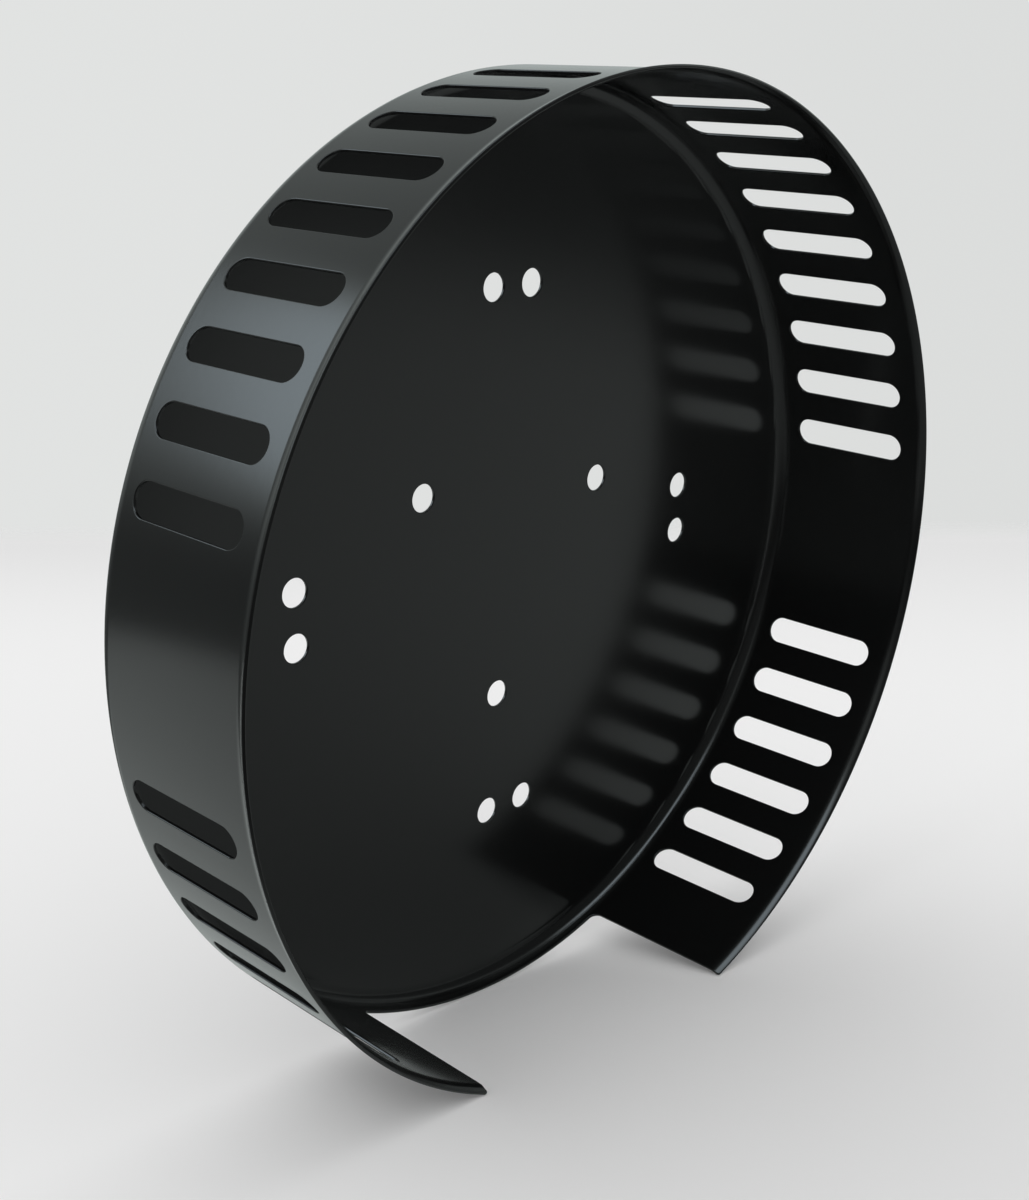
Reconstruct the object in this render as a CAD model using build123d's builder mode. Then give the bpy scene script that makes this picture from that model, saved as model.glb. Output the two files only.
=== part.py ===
from build123d import *
from math import cos, radians, sin
import os

# Motor cover: one drum drawn from sheet steel. Its flat disc bolts to the end of a motor, and its
# slotted wall stands out from the disc and ends in a trimmed rim. The bottom of the wall is cut away.
# The mounting face of the disc lies in the XZ plane, centred on the origin. The drum opens towards -Y
# and +Z is up. Angles are in degrees, from +X towards +Z, as seen from the open side.

# Drum, in millimetres
wall_diameter = 292  # over the outside of the wall
drum_depth = 61  # from the mounting face to the tip of the rim
sheet = 1.0  # thickness of the steel
bend_radius = 5  # inside of the bend between disc and wall

# Rim, turned slightly outwards where it was trimmed
flare_radius = 6  # on the outer face
flare_angle = 35

# Cut-away at the bottom of the wall
cut_angle = 44  # width of the gap, seen from the axis of the drum
lip_depth = 6.5  # from the mounting face to the edge of the lip that is left
cut_corner = 3  # where the sides of the gap meet the lip
tip_corner = 0.8  # where they meet the rim

# Vent slots, in an upper and a lower row on each side
slot_length = 42
slot_width = 9.2
slot_pitch = 7.7
upper_slots = 9
upper_start = 75
lower_slots = 6
lower_start = -16.6

# Bolt holes in the disc: one set on the inner circle, two on the outer circle
bolt_hole = 8.5
inner_circle = 89
inner_count = 3
inner_start = 30
outer_circle = 169
outer_count = 4
outer_start = 0
second_start = 11

wall_radius = wall_diameter / 2
outer_bend = bend_radius + sheet
flare_height = (flare_radius + sheet) * sin(radians(flare_angle))
past_wall = wall_diameter  # a reach that clears the wall and its flare from the axis


def spoke(angle):
    """The direction from the axis of the drum out to the wall at an angle."""
    return Vector(cos(radians(angle)), 0, sin(radians(angle)))


right_slots = [upper_start - slot_pitch * i for i in range(upper_slots)]
right_slots += [lower_start - slot_pitch * i for i in range(lower_slots)]
left_slots = [180 - angle for angle in right_slots]

bolt_circles = [
    (inner_circle, inner_count, inner_start),
    (outer_circle, outer_count, outer_start),
    (outer_circle, outer_count, second_start),
]

with BuildPart() as motor_cover:
    # The drawn sheet: the outer face of disc, bend, wall and flare, thickened inwards and turned round
    with BuildSketch(Plane.XY):
        with BuildLine():
            disc = Line((0, 0), (wall_radius - outer_bend, 0))
            bend = JernArc(start=disc @ 1, tangent=disc % 1, radius=outer_bend, arc_size=-90)
            wall = Line(bend @ 1, (wall_radius, flare_height - drum_depth))
            JernArc(start=wall @ 1, tangent=wall % 1, radius=flare_radius, arc_size=flare_angle)
            offset(amount=sheet, side=Side.RIGHT)
        make_face()
    revolve(axis=Axis.Y)

    # Vent slots, punched square through the wall at half its depth
    for angle in right_slots + left_slots:
        with BuildSketch(Plane(origin=(0, -drum_depth / 2, 0), x_dir=(0, 1, 0), z_dir=spoke(angle))):
            SlotOverall(slot_length, slot_width)
    extrude(amount=past_wall, mode=Mode.SUBTRACT)

    # Bolt holes, punched through the disc
    with BuildSketch(Plane.XZ):
        for circle, count, start in bolt_circles:
            with PolarLocations(circle / 2, count, start):
                Circle(bolt_hole / 2)
    extrude(amount=sheet, mode=Mode.SUBTRACT)

    # Cut-away: a wedge from the axis out through the bottom of the wall, from the lip to past the rim
    with BuildSketch(Plane.XZ.offset(lip_depth)):
        with BuildLine():
            side_a = PolarLine((0, 0), past_wall, -90 - cut_angle / 2)
            side_b = PolarLine((0, 0), past_wall, -90 + cut_angle / 2)
            Line(side_a @ 1, side_b @ 1)
        make_face()
    extrude(amount=drum_depth, mode=Mode.SUBTRACT)

    # Round the four corners of the cut-away, whose edges run across the sheet
    corners = motor_cover.edges(Select.LAST).group_by(SortBy.LENGTH)[0].sort_by(Axis.Y)
    fillet(corners[:2], radius=tip_corner)
    fillet(corners[2:], radius=cut_corner)

motor_cover.part.label = "motor_cover"
os.makedirs("parts", exist_ok=True)
export_step(motor_cover.part, "parts/motor_cover.step")
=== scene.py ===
from math import cos, pi, radians, sin

import bpy
import numpy as np
from mathutils import Matrix, Vector
from mathutils.geometry import delaunay_2d_cdt

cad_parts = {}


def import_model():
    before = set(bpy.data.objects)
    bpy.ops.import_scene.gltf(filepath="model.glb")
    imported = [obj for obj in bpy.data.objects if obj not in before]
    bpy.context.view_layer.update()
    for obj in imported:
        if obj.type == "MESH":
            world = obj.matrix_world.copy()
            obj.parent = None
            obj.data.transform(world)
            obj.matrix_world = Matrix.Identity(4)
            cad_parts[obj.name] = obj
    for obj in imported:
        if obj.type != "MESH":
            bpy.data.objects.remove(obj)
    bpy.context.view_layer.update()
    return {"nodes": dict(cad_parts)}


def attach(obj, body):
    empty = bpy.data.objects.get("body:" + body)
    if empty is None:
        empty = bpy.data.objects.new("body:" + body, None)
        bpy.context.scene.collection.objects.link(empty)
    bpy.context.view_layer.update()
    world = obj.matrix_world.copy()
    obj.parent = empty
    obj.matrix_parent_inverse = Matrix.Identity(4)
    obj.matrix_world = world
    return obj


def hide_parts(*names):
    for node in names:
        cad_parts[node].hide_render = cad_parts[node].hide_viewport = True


# Motor cover: one drum drawn from sheet steel and powder coated black, on a pale floor.
# Lengths are in metres. The drum's axis is Y, it opens towards -Y, and +Z is up.

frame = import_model()
cover = frame["nodes"]["motor_cover"]
scene = bpy.context.scene

# Camera
CAMERA_PLACE = Vector((-0.35156, -0.32408, 0.11541))
CAMERA_RIGHT = Vector((0.68554, -0.72318, 0.08399))
CAMERA_UP = Vector((0.12104, 0.22698, 0.96635))
CAMERA_SENSOR = 36  # mm
CAMERA_LENS = 47.468  # mm
CAMERA_SHIFT = (-0.00164, -0.02357)
CAMERA_CLIP = (0.01, 50)


def make_camera():
    data = bpy.data.cameras.new("camera")
    data.sensor_width = CAMERA_SENSOR
    data.lens = CAMERA_LENS
    data.shift_x, data.shift_y = CAMERA_SHIFT
    data.clip_start, data.clip_end = CAMERA_CLIP
    camera = bpy.data.objects.new("camera", data)
    right = CAMERA_RIGHT.normalized()
    up = (CAMERA_UP - CAMERA_UP.dot(right) * right).normalized()
    turn = Matrix((right, up, right.cross(up))).transposed()
    camera.matrix_world = Matrix.Translation(CAMERA_PLACE) @ turn.to_4x4()
    scene.collection.objects.link(camera)
    scene.camera = camera


# The sheet, with the sizes of the solid that it stands for
WALL_RADIUS = 0.146  # outside of the wall
DRUM_DEPTH = 0.061  # from the disc's outer face to the rim
SHEET = 0.001
OUTER_BEND = 0.006  # outside radius of the bend between disc and wall
FLARE_RADIUS = 0.006
FLARE_ANGLE = radians(35)
CUT_ANGLE = radians(44)
LIP_DEPTH = 0.0065  # from the disc's outer face to the edge that the cut-away leaves
CUT_CORNER = 0.003  # where the sides of the cut-away meet the lip
TIP_CORNER = 0.0008  # where they meet the rim
SLOT_LENGTH = 0.042
SLOT_WIDTH = 0.0092
SLOT_ANGLES = [75 - 7.7 * i for i in range(9)] + [-16.6 - 7.7 * i for i in range(6)]
BOLT_HOLE = 0.0085
BOLT_CIRCLES = [(0.089, 3, 30), (0.169, 4, 0), (0.169, 4, 11)]  # diameter, count and first angle

# The mesh
EDGE_RADIUS = 0.0003  # the coat rounds each cut edge of the sheet
EDGE_STEPS = 3  # in each quarter turn of that rounding
COLUMNS = 480  # round the drum
BEND_ROWS, WALL_ROWS, FLARE_ROWS = 10, 13, 7
STEP = 0.002  # between points along a straight edge
CORNER_STEPS, TIP_STEPS, SLOT_END_STEPS, BOLT_STEPS = 12, 6, 20, 48
CLEARANCE = 0.2 * STEP  # points inside a surface keep away from its edges
GRAINS = 1e7  # points in the same grain, of this many to a metre, are one
BATCH = 2000

# Distances along the outer face, from the axis over the bend to the rim
DISC_EDGE = WALL_RADIUS - OUTER_BEND
WALL_TOP = DISC_EDGE + OUTER_BEND * pi / 2
FLARE_START = DRUM_DEPTH - (FLARE_RADIUS + SHEET) * sin(FLARE_ANGLE)
WALL_END = WALL_TOP + FLARE_START - OUTER_BEND
RIM = WALL_END + FLARE_RADIUS * FLARE_ANGLE
LIP = WALL_TOP + LIP_DEPTH - OUTER_BEND


def on_drum(flat, depth):
    """Bend, wall and flare. Flat points are (arc at the wall, distance along the outer face).

    Returns the points in space, sunk into the sheet by depth, their outward normals, and the
    directions of the two flat axes.
    """
    angle, along = flat[:, 0] / WALL_RADIUS, flat[:, 1]
    bend = np.clip((along - DISC_EDGE) / OUTER_BEND, 0, pi / 2)
    flare = np.clip((along - WALL_END) / FLARE_RADIUS, 0, None)
    down = np.clip(along - WALL_TOP, 0, WALL_END - WALL_TOP)
    radius = DISC_EDGE + OUTER_BEND * np.sin(bend) + FLARE_RADIUS * (1 - np.cos(flare))
    height = OUTER_BEND * (np.cos(bend) - 1) - down - FLARE_RADIUS * np.sin(flare)
    out, rise = np.sin(bend) * np.cos(flare), np.cos(bend) + np.sin(flare)
    radius, height = radius - out * depth, height - rise * depth
    c, s = np.cos(angle), np.sin(angle)
    place = np.stack([radius * c, height, radius * s], 1)
    normal = np.stack([out * c, rise, out * s], 1)
    round_axis = np.stack([-s, 0 * s, c], 1)
    return place, normal, (round_axis, np.cross(normal, round_axis))


def on_disc(flat, depth):
    """The flat disc, as on_drum: flat points (x, z)."""
    place = np.stack([flat[:, 0], 0 * flat[:, 0] - depth, flat[:, 1]], 1)
    normal = np.tile((0.0, 1, 0), (len(flat), 1))
    return place, normal, (np.array([[1.0, 0, 0]]), np.array([[0, 0, 1.0]]))


class Skin:
    """Gathers faces, shares the points where they meet and keeps each point's exact normal."""

    def __init__(self):
        self.index, self.places, self.normals, self.faces = {}, [], [], []

    def numbers(self, places, normals):
        """The numbers of the points at these places, with new points where there are none."""
        found = []
        for place, normal in zip(places, normals):
            key = tuple(round(x * GRAINS) for x in place)
            if key not in self.index:
                self.index[key] = len(self.places)
                self.places.append(tuple(place))
                self.normals.append(tuple(normal))
            found.append(self.index[key])
        return found

    def add_surface(self, surface, flat, corners):
        """Both faces of the sheet over a flat triangulation."""
        for depth, side in ((0, 1), (SHEET, -1)):
            places, normals, _ = surface(flat, depth)
            numbers = self.numbers(places, side * normals)
            self.faces += [[numbers[i] for i in face] for face in corners]

    def add_edge(self, surface, edge, closed):
        """The rounded edge of the sheet. edge is flat points and their directions into the material."""
        points, inward = edge
        turns = [pi / 2 * i / EDGE_STEPS for i in range(EDGE_STEPS + 1)]
        rings = [
            (EDGE_RADIUS * (1 - sin(a)), EDGE_RADIUS * (1 - cos(a)), cos(a), sin(a)) for a in turns
        ]
        rings += [(inset, SHEET - depth, -up, out) for inset, depth, up, out in reversed(rings)]
        rows = []
        for inset, depth, up, out in rings:
            places, normals, axes = surface(points + inset * inward, depth)
            into = inward[:, :1] * axes[0] + inward[:, 1:] * axes[1]
            rows.append(self.numbers(places, up * normals - out * into))
        last = len(points) if closed else len(points) - 1
        for row, below in zip(rows, rows[1:]):
            for i in range(last):
                j = (i + 1) % len(points)
                self.faces.append([row[i], row[j], below[j], below[i]])

    def make(self, name):
        """The object, with its faces turned outwards and without faces that have shrunk to a line."""
        places, normals = np.array(self.places), np.array(self.normals)
        faces = []
        for face in self.faces:
            face = list(dict.fromkeys(face))
            if len(face) > 2:
                a, b, c = places[face[:3]]
                turned = np.cross(b - a, c - a) @ normals[face].sum(0) < 0
                faces.append(face[::-1] if turned else face)
        mesh = bpy.data.meshes.new(name)
        mesh.from_pydata(places.tolist(), [], faces)
        mesh.shade_smooth()
        mesh.normals_split_custom_set_from_vertices(normals.tolist())
        made = bpy.data.objects.new(name, mesh)
        scene.collection.objects.link(made)
        return made


def run(start, end, inward):
    """Points from start to end, with the same direction into the material at each."""
    start, end = np.array(start), np.array(end)
    count = max(2, round(np.linalg.norm(end - start) / STEP) + 1)
    points = start + np.linspace(0, 1, count)[:, None] * (end - start)
    return points, np.tile(inward, (count, 1))


def arc(centre, radius, start, end, hollow, count):
    """Points round an arc. Where it is hollow, the material lies outside it."""
    angle = np.radians(np.linspace(start, end, count + 1))
    way = np.stack([np.cos(angle), np.sin(angle)], 1)
    return np.array(centre) + radius * way, way if hollow else -way


def join(*parts):
    """One edge from runs and arcs that follow on each other."""
    points = [part[0][:-1] for part in parts[:-1]] + [parts[-1][0]]
    inward = [part[1][:-1] for part in parts[:-1]] + [parts[-1][1]]
    return np.concatenate(points), np.concatenate(inward)


def trimmed_edge():
    """From the lip's middle round the corners of the cut-away, along the rim to the top, and back."""
    side = WALL_RADIUS * (CUT_ANGLE - pi) / 2
    inner, tip = CUT_CORNER, TIP_CORNER
    points, inward = join(
        run((-WALL_RADIUS * pi / 2, LIP), (side - inner, LIP), (0.0, -1)),
        arc((side - inner, LIP + inner), inner, -90, 0, hollow=True, count=CORNER_STEPS),
        run((side, LIP + inner), (side, RIM - tip), (1.0, 0)),
        arc((side + tip, RIM - tip), tip, 180, 90, hollow=False, count=TIP_STEPS),
        run((side + tip, RIM), (WALL_RADIUS * pi / 2, RIM), (0.0, -1)),
    )
    across = np.array([WALL_RADIUS * pi, 0])
    mirror = np.array([-1, 1])
    return (
        np.concatenate([points, (points * mirror + across)[-2::-1]]),
        np.concatenate([inward, (inward * mirror)[-2::-1]]),
    )


def slot_edge(angle):
    around = WALL_RADIUS * radians(angle)
    middle = WALL_TOP - OUTER_BEND + DRUM_DEPTH / 2
    half, radius = (SLOT_LENGTH - SLOT_WIDTH) / 2, SLOT_WIDTH / 2
    low, high = middle - half, middle + half
    points, inward = join(
        arc((around, low), radius, 180, 360, hollow=True, count=SLOT_END_STEPS),
        run((around + radius, low), (around + radius, high), (1.0, 0)),
        arc((around, high), radius, 0, 180, hollow=True, count=SLOT_END_STEPS),
        run((around - radius, high), (around - radius, low), (-1.0, 0)),
    )
    return points[:-1], inward[:-1]


def inside(points, loop):
    """Which points lie inside a closed loop."""
    x, y = points[:, :1], points[:, 1:]
    ax, ay = loop[:, 0], loop[:, 1]
    bx, by = np.roll(ax, -1), np.roll(ay, -1)
    with np.errstate(divide="ignore", invalid="ignore"):
        crossed = ((ay > y) != (by > y)) & (x < (bx - ax) * (y - ay) / (by - ay) + ax)
    return crossed.sum(1) % 2 == 1


def triangles(outline, holes, extra):
    """(points, corners) of the area inside outline and outside holes, with extra points in it."""
    loops = [outline, *holes]
    for loop in loops:
        near = np.zeros(len(extra), bool)
        for start in range(0, len(extra), BATCH):
            part = extra[start : start + BATCH]
            gap = np.linalg.norm(part[:, None] - loop[None], axis=2).min(1)
            near[start : start + BATCH] = gap < CLEARANCE
        extra = extra[~near]
    extra = extra[inside(extra, outline)]
    for hole in holes:
        extra = extra[~inside(extra, hole)]
    points = np.concatenate([*loops, extra])
    edges, first = [], 0
    for loop in loops:
        count = len(loop)
        edges += [(first + i, first + (i + 1) % count) for i in range(count)]
        first += count
    millimetres = [Vector(p) for p in 1000 * points]
    _, _, faces, origins, _, _ = delaunay_2d_cdt(millimetres, edges, [], 0, 1e-5)
    corners = np.array([[origins[i][0] for i in face] for face in faces])
    middles = points[corners].mean(1)
    kept = inside(middles, outline)
    for hole in holes:
        kept &= ~inside(middles, hole)
    return points, corners[kept]


def inset(edge):
    """Where the rounding of an edge starts."""
    return edge[0] + EDGE_RADIUS * edge[1]


def make_cover():
    skin = Skin()
    around = WALL_RADIUS * (2 * pi * np.arange(COLUMNS + 1) / COLUMNS - pi / 2)

    # bend, wall and flare
    trim = trimmed_edge()
    slots = [slot_edge(a) for angle in SLOT_ANGLES for a in (angle, 180 - angle)]
    bend_rows = np.linspace(DISC_EDGE, WALL_TOP, BEND_ROWS + 1)
    wall_rows = np.linspace(WALL_TOP, WALL_END, WALL_ROWS + 1)[1:-1]
    flare_rows = np.linspace(WALL_END, RIM, FLARE_ROWS + 1)
    rows = np.concatenate([bend_rows, wall_rows, flare_rows])
    seam = bend_rows[(bend_rows > DISC_EDGE) & (bend_rows < LIP - EDGE_RADIUS)]
    disc_side = np.stack([around, np.full(COLUMNS + 1, DISC_EDGE)], 1)
    outline = np.concatenate(
        [
            disc_side,
            np.stack([np.full(len(seam), around[-1]), seam], 1),
            inset(trim)[::-1],
            np.stack([np.full(len(seam), around[0]), seam[::-1]], 1),
        ]
    )
    grid = np.stack(np.meshgrid(around[1:-1], rows[1:]), -1).reshape(-1, 2)
    skin.add_surface(on_drum, *triangles(outline, [inset(slot) for slot in slots], grid))
    skin.add_edge(on_drum, trim, closed=False)
    for slot in slots:
        skin.add_edge(on_drum, slot, closed=True)

    # disc
    angle = around[:-1] / WALL_RADIUS
    rim = DISC_EDGE * np.stack([np.cos(angle), np.sin(angle)], 1)
    bolts = []
    for circle, count, start in BOLT_CIRCLES:
        for i in range(count):
            turn = radians(start) + 2 * pi * i / count
            middle = (circle / 2 * cos(turn), circle / 2 * sin(turn))
            points, inward = arc(middle, BOLT_HOLE / 2, 0, 360, hollow=True, count=BOLT_STEPS)
            bolts.append((points[:-1], inward[:-1]))
    skin.add_surface(on_disc, *triangles(rim, [inset(bolt) for bolt in bolts], np.empty((0, 2))))
    for bolt in bolts:
        skin.add_edge(on_disc, bolt, closed=True)
    return skin.make("drawn_cover")


# Node helpers
def new_material(name):
    material = bpy.data.materials.new(name)
    material.use_nodes = True
    material.node_tree.nodes.clear()
    return material, material.node_tree


def node(tree, kind, values=(), **settings):
    """A new node. values are pairs of input and either a number or colour, or an output to link."""
    made = tree.nodes.new(kind)
    for name, value in settings.items():
        setattr(made, name, value)
    for key, value in values:
        if isinstance(value, bpy.types.NodeSocket):
            tree.links.new(value, made.inputs[key])
        else:
            made.inputs[key].default_value = value
    return made


def calculate(tree, operation, first, second):
    return node(tree, "ShaderNodeMath", [(0, first), (1, second)], operation=operation).outputs[0]


def product(tree, first, *others):
    for other in others:
        first = calculate(tree, "MULTIPLY", first, other)
    return first


def smooth_step(tree, value, reach, levels=(0.0, 1.0)):
    """levels[0] where value is below reach[0], levels[1] where it is above reach[1], smooth between."""
    inputs = ("Value", "From Min", "From Max", "To Min", "To Max")
    values = (value, *reach, *levels)
    made = node(tree, "ShaderNodeMapRange", zip(inputs, values), interpolation_type="SMOOTHSTEP")
    return made.outputs["Result"]


def dot(tree, place, way):
    made = node(
        tree, "ShaderNodeVectorMath", [(0, place), (1, tuple(way))], operation="DOT_PRODUCT"
    )
    return made.outputs["Value"]


def first_reflection(tree, path):
    """1 for what the cover reflects straight away, 0 for what it sees by way of a second reflection."""
    return calculate(tree, "LESS_THAN", path.outputs["Glossy Depth"], 1.5)


# Powder coat
COAT_COLOR = (0.0032, 0.0034, 0.0034, 1)
COAT_IOR = 1.5
COAT_ROUGHNESS = (0.16, 0.19)
CLOUD_SCALE = 14.0  # of the slow change in roughness
CLOUD_REACH = (0.3, 0.7)
PEEL_SCALE = 420.0  # of the orange peel
PEEL_STRENGTH = 0.05
PEEL_HEIGHT = 0.0001


def powder_coat():
    material, tree = new_material("powder_coat")
    place = node(tree, "ShaderNodeTexCoord").outputs["Object"]
    peel = node(
        tree, "ShaderNodeTexNoise", [("Vector", place), ("Scale", PEEL_SCALE), ("Detail", 2.0)]
    )
    bump = node(
        tree, "ShaderNodeBump",
        [("Strength", PEEL_STRENGTH), ("Distance", PEEL_HEIGHT), ("Height", peel.outputs["Fac"])],
    )
    cloud = node(
        tree, "ShaderNodeTexNoise", [("Vector", place), ("Scale", CLOUD_SCALE), ("Detail", 3.0)]
    )
    shader = node(
        tree, "ShaderNodeBsdfPrincipled",
        [
            ("Base Color", COAT_COLOR),
            ("Roughness", smooth_step(tree, cloud.outputs["Fac"], CLOUD_REACH, COAT_ROUGHNESS)),
            ("IOR", COAT_IOR),
            ("Normal", bump.outputs["Normal"]),
        ],
    )
    out = node(tree, "ShaderNodeOutputMaterial")
    tree.links.new(shader.outputs["BSDF"], out.inputs["Surface"])
    return material


# Floor
NEAR_DISC, NEAR_RIM = -0.01, -0.05  # the parts of the cover, along Y, that it stands on
FLOOR_REACH = 2.4
FLOOR_SIDES = 96
FLOOR_FADE = 0.4  # width of the soft edge where floor turns into backdrop
PAINTED_FALLOFF_TONES = (0.87, 0.765)  # of the near part, and of the far part, which is painted darker as painted shade where the light falls off
TABLE_END = (0.9405, 0.3397, 0)  # across the straight far end of the table
PAINTED_FALLOFF_REACH = (0.4, 1.35)  # where the far part's painted shade starts and is complete, along TABLE_END
TABLE_FADE = (1.3, 1.54)  # where the table turns into backdrop
# Reflections in the cover see the table end sooner, and the floor painted a little darker and greener as
# a painted reflection.
# A first reflection also sees areas of painted shade on it. Each area is given by its brightness and by
# one or two directions, with where it starts and is complete along each.
GLOSSY_REACH = (0.85, 1.7)
GLOSSY_PAINTED_TINT = (0.87, 0.94, 0.92)
GLOSSY_PAINTED_SHADE = [
    (0.52, [((0.5, -0.87, 0), (-0.08, 0.06))]),  # painted shade in front, where the light falls off
    (0.1, [((-0.74, -0.67, 0), (0.12, 0.3))]),  # painted shadow round the camera and the one who holds it
    (0.2, [((0.7, 0.71, 0), (0.06, 0.18)), ((0, 1, 0), (0.05, 0.15))]),  # painted shade behind the drum, where its shadow falls
]


def floor_plane():
    """(point, normal) of the floor: the cover stands on the lip and on the two ends of its rim."""
    points = [v.co for v in cover.data.vertices]
    lip = min((p for p in points if p.y > NEAR_DISC), key=lambda p: p.z)
    slope = min((p.z - lip.z) / (lip.y - p.y) for p in points if p.y < NEAR_RIM)
    return Vector((0, lip.y, lip.z)), Vector((0, slope, 1)).normalized()


def floor_material(middle):
    material, tree = new_material("floor")
    place = node(tree, "ShaderNodeTexCoord").outputs["Object"]
    path = node(tree, "ShaderNodeLightPath")
    glossy = path.outputs["Is Glossy Ray"]
    radius = node(
        tree, "ShaderNodeVectorMath", [(0, place), (1, tuple(middle))], operation="DISTANCE"
    ).outputs["Value"]
    along_table = dot(tree, place, TABLE_END)

    # Painted shade: the floor's colour is darker on its far part, standing in for light that falls off
    # with distance.
    falloff_tone = smooth_step(tree, along_table, PAINTED_FALLOFF_REACH, PAINTED_FALLOFF_TONES)
    glossy_painted_tone = falloff_tone
    # Painted shade and a painted tint, seen only in reflections: the floor is darkened in the areas of
    # GLOSSY_PAINTED_SHADE.
    for level, sides in GLOSSY_PAINTED_SHADE:
        painted_shade = product(
            tree, first_reflection(tree, path), 1.0 - level,
            *[smooth_step(tree, dot(tree, place, way), reach) for way, reach in sides],
        )
        glossy_painted_tone = product(tree, glossy_painted_tone, calculate(tree, "SUBTRACT", 1.0, painted_shade))
    tinted = node(
        tree, "ShaderNodeVectorMath", [(0, GLOSSY_PAINTED_TINT), ("Scale", glossy_painted_tone)], operation="SCALE"
    ).outputs["Vector"]
    color = node(
        tree, "ShaderNodeMix", [("Factor", glossy), (4, falloff_tone), (5, tinted)], data_type="VECTOR"
    ).outputs[1]

    edge = smooth_step(tree, radius, (FLOOR_REACH - FLOOR_FADE, FLOOR_REACH))
    edge = calculate(tree, "MAXIMUM", edge, smooth_step(tree, along_table, TABLE_FADE))
    glossy_edge = product(tree, glossy, smooth_step(tree, radius, GLOSSY_REACH))
    gone = calculate(tree, "MAXIMUM", edge, glossy_edge)
    diffuse = node(tree, "ShaderNodeBsdfDiffuse", [("Color", color)]).outputs[0]
    clear = node(tree, "ShaderNodeBsdfTransparent").outputs[0]
    mix = node(tree, "ShaderNodeMixShader", [(0, gone), (1, diffuse), (2, clear)])
    out = node(tree, "ShaderNodeOutputMaterial")
    tree.links.new(mix.outputs[0], out.inputs["Surface"])
    return material


def make_floor(point, normal):
    across = Vector((1, 0, 0))
    along = normal.cross(across)
    turns = [2 * pi * i / FLOOR_SIDES for i in range(FLOOR_SIDES)]
    ring = [point + FLOOR_REACH * (cos(a) * across + sin(a) * along) for a in turns]
    mesh = bpy.data.meshes.new("floor")
    mesh.from_pydata(ring, [], [list(range(FLOOR_SIDES))])
    mesh.materials.append(floor_material(point))
    floor = bpy.data.objects.new("floor", mesh)
    scene.collection.objects.link(floor)


# Light. A pair says between which two values along a direction something starts or ends. Where no other
# direction is named, it is the floor's normal.
BEHIND = (0.74, 0.67, 0)  # towards the backdrop
FRONT = (0, -1, 0)
RIGHT = (1, 0, 0)
# What lights the surfaces: a soft light that is brightest on one side
SOFT_MIDDLE = (-0.85, -0.41, 0.33)  # towards its brightest part
SOFT_WIDTH = (0.5, 0.95)  # along SOFT_MIDDLE
SOFT_LEVELS = (0.85, 1.8)
# What the camera sees: the pale backdrop, from left to right
PALE_WIDTH = (-0.3, 0.3)  # along CAMERA_RIGHT
PALE_LEVELS = (0.765, 0.725)
PALE_TINT = (0.985, 1.0, 0.99, 1)
# What the cover reflects: a dim room, with the backdrop behind
ROOM_RISE = (0.08, 0.4)
ROOM_LEVELS = (0.17, 0.55)
ROOM_TINT = (0.91, 1.0, 0.98, 1)
BACKDROP_EDGE = (0.1, 0.45)  # along BEHIND
BACKDROP_RISE = (0.5, 0.75)
BACKDROP_LEVELS = (0.7, 0.56)
BACKDROP_FOOT = (0.0, 0.3)
BACKDROP_FOOT_LEVELS = (0.25, 1.0)
CEILING = (0.86, 0.96)
CEILING_LEVEL = 0.25
FRONT_DIM = (0.2, 0.5)  # where the front of the room darkens, along FRONT
FRONT_LEVEL = 0.1
# and in it two lights. The one overhead shows in first reflections only
LIGHT_TINT = (0.86, 1.0, 1.08, 1)
KEY_EDGE = (-0.5962, -0.6104, 0.5215)  # square to the edge of the key light that the wall reflects
KEY_NEAR = (-0.045, 0.015)  # that edge, along KEY_EDGE
KEY_FAR = (0.25, 0.5)  # the far one, along KEY_EDGE
KEY_FOOT = (0.2, 0.42)
KEY_HEAD = (0.68, 0.76)
KEY_FRONT = (-0.4, -0.1)  # along FRONT
KEY_LEVEL = 3.5
TOP_HEIGHT = (0.6, 0.76)
TOP_BACK = (0.0, 0.12)  # along FRONT
TOP_FRONT = (0.36, 0.48)  # along FRONT
TOP_RIGHT = (0.12, 0.42)  # along RIGHT
TOP_LEVEL = 3.4
NEUTRAL = (1.0, 1.0, 1.0, 1)


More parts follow.
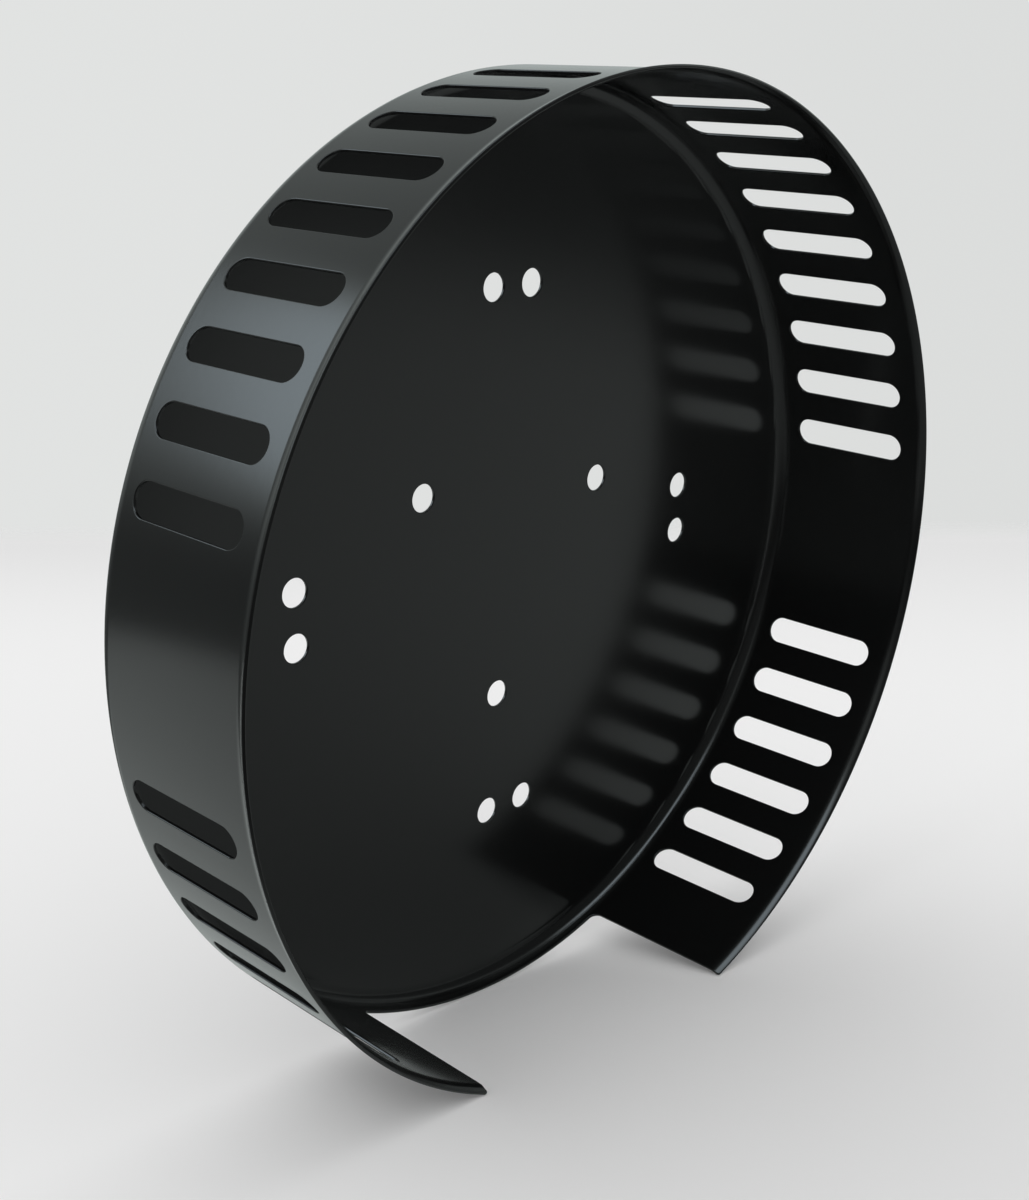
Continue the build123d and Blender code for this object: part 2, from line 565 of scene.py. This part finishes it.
def make_world(normal):
    """The studio round the cover: one for what lights it, one for the camera, one for reflections."""
    world = bpy.data.worlds.new("studio")
    scene.world = world
    world.use_nodes = True
    tree = world.node_tree
    tree.nodes.clear()
    place = node(tree, "ShaderNodeTexCoord").outputs["Generated"]
    path = node(tree, "ShaderNodeLightPath")
    glossy, camera = path.outputs["Is Glossy Ray"], path.outputs["Is Camera Ray"]

    def past(way, reach, levels=(0.0, 1.0)):
        return smooth_step(tree, dot(tree, place, way), reach, levels)

    def before(way, reach):
        return past(way, reach, (1.0, 0.0))

    def blend(factor, low, high):
        return node(tree, "ShaderNodeMix", [("Factor", factor), ("A", low), ("B", high)]).outputs[0]

    def blend_colors(factor, low, high):
        values = [("Factor", factor), (6, low), (7, high)]
        return node(tree, "ShaderNodeMix", values, data_type="RGBA").outputs[2]

    room = past(normal, ROOM_RISE, ROOM_LEVELS)
    backdrop = product(
        tree,
        past(normal, BACKDROP_RISE, BACKDROP_LEVELS),
        past(normal, BACKDROP_FOOT, BACKDROP_FOOT_LEVELS),
    )
    key = product(
        tree,
        past(KEY_EDGE, KEY_NEAR), before(KEY_EDGE, KEY_FAR),
        past(normal, KEY_FOOT), before(normal, KEY_HEAD), before(FRONT, KEY_FRONT),
    )
    top = product(
        tree,
        past(normal, TOP_HEIGHT), past(FRONT, TOP_BACK), before(FRONT, TOP_FRONT),
        before(RIGHT, TOP_RIGHT), first_reflection(tree, path),
    )
    reflected = blend(past(BEHIND, BACKDROP_EDGE), room, backdrop)
    reflected = blend(past(normal, CEILING), reflected, CEILING_LEVEL)
    reflected = blend(past(FRONT, FRONT_DIM), reflected, FRONT_LEVEL)
    reflected = blend(top, reflected, TOP_LEVEL)
    reflected = blend(key, reflected, KEY_LEVEL)
    reflected_tint = blend_colors(blend(top, key, 1.0), ROOM_TINT, LIGHT_TINT)

    level = blend(glossy, past(SOFT_MIDDLE, SOFT_WIDTH, SOFT_LEVELS), reflected)
    level = blend(camera, level, past(CAMERA_RIGHT, PALE_WIDTH, PALE_LEVELS))
    tint = blend_colors(glossy, NEUTRAL, reflected_tint)
    tint = blend_colors(camera, tint, PALE_TINT)
    background = node(tree, "ShaderNodeBackground", [("Color", tint), ("Strength", level)])
    out = node(tree, "ShaderNodeOutputWorld")
    tree.links.new(background.outputs[0], out.inputs["Surface"])


make_camera()
skin = make_cover()
skin.data.materials.append(powder_coat())
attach(skin, "root")
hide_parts("motor_cover")
floor_point, floor_normal = floor_plane()
make_floor(floor_point, floor_normal)
make_world(floor_normal)
scene.view_settings.view_transform = "Standard"
